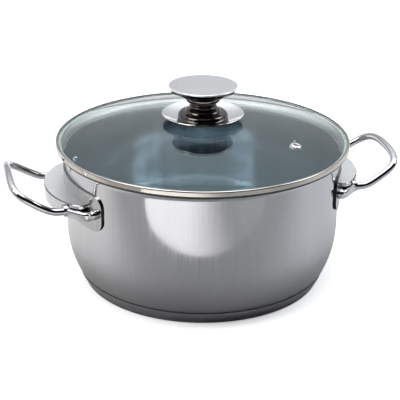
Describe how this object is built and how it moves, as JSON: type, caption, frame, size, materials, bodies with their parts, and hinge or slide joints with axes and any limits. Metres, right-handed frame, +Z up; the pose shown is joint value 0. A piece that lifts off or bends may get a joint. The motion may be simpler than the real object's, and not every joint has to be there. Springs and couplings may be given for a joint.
{
  "type": "stock pot",
  "caption": "Low two-handled stainless steel pot with a rounded belly, an encapsulated base and a lift-off domed glass lid with a steel rim, steam vent and waisted round knob.",
  "frame": {"origin": "middle of the underside of the base", "axes": "+Z up along the pot's axis, +X towards the right-hand handle, the two handles lie along X"},
  "size_m": [0.338, 0.25, 0.1704],
  "materials": {
    "pot_steel": "polished",
    "base_steel": "polished",
    "core_aluminium": "matt",
    "lid_glass": "clear tempered",
    "band_steel": "polished",
    "silicone": "matt",
    "vent_steel": "satin",
    "knob_polished": "mirror",
    "knob_stem_steel": "mirror",
    "knob_brushed": "satin",
    "strap_steel": "polished",
    "bracket_steel": "satin top, polished edge",
    "rod_steel": "mirror",
    "rivet_steel": "mirror"
  },
  "bodies": {
    "pot": {"pot_body": "pot_steel", "base_core": "core_aluminium", "base_cap": "base_steel", "handle_left_back_plate": "strap_steel", "handle_left_bracket": "bracket_steel", "handle_left_loop": "rod_steel", "handle_left_rivets": "rivet_steel", "handle_right_back_plate": "strap_steel", "handle_right_bracket": "bracket_steel", "handle_right_loop": "rod_steel", "handle_right_rivets": "rivet_steel"},
    "lid": {"lid_glass": "lid_glass", "lid_rim_band": "band_steel", "rim_seal": "silicone", "steam_vent": "vent_steel", "vent_seal": "silicone", "knob_upper_washer": "silicone", "knob_lower_washer": "silicone", "knob_skirt": "knob_polished", "knob_stem": "knob_stem_steel", "knob_cap": "knob_brushed", "knob_plate": "vent_steel", "knob_screw": "vent_steel"}
  },
  "joints": [
    {"name": "lid_lift", "type": "slide", "parent": "pot", "child": "lid", "axis": [0, 0, 1], "range_m": [0, 0.16]}
  ]
}
